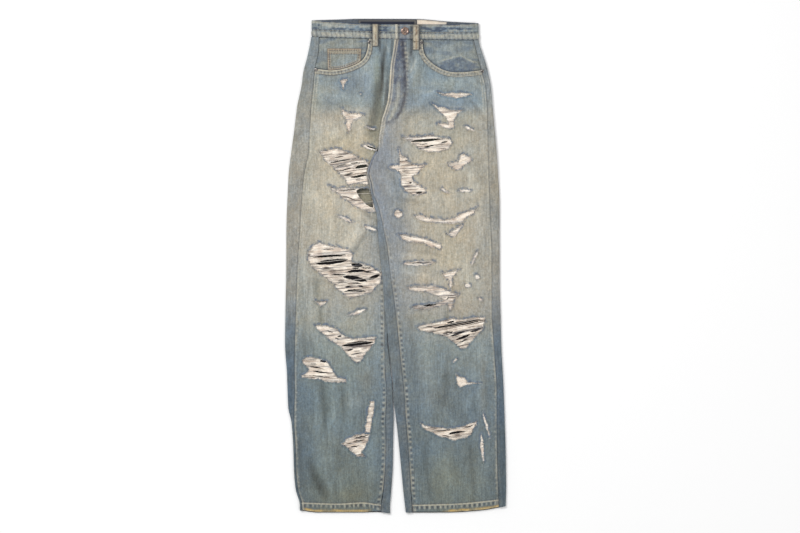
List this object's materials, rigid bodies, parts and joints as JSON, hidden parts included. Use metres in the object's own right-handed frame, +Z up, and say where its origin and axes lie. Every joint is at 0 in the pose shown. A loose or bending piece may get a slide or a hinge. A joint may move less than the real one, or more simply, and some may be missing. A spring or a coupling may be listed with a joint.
{
  "type": "ripped jeans",
  "caption": "Straight-leg blue jeans laid flat, faded and dirty, with wide frayed rips across both legs that show white threads.",
  "frame": {"origin": "centre of the bounding box at the underside, where the jeans lie on the surface", "axes": "+Z up out of the surface, +Y along the legs from the hems to the waist, +X to the viewer's right"},
  "size_m": [0.4774, 1.0676, 0.0136],
  "materials": {
    "denim": "matte, faded and dirty cotton twill",
    "dark_tape": "matte woven tape",
    "cream_tape": "matte woven tape",
    "aged_metal": "worn, tarnished"
  },
  "bodies": {
    "root": {"front_panel_left": "denim", "front_panel_right": "denim", "back_panel_left": "denim", "back_panel_right": "denim", "back_yoke_left": "denim", "back_yoke_right": "denim", "waistband": "denim", "pocket_facing_left": "denim", "pocket_facing_right": "denim", "coin_pocket": "denim", "back_pocket_left": "denim", "back_pocket_right": "denim", "belt_loop_front_left": "denim", "belt_loop_front_right": "denim", "belt_loop_back_left": "denim", "belt_loop_back_centre": "denim", "belt_loop_back_right": "denim", "label_dark": "dark_tape", "label_cream": "cream_tape", "waist_button": "aged_metal", "rivet_left_outer": "aged_metal", "rivet_left_inner": "aged_metal", "rivet_right_inner": "aged_metal", "rivet_right_outer": "aged_metal"}
  },
  "joints": []
}
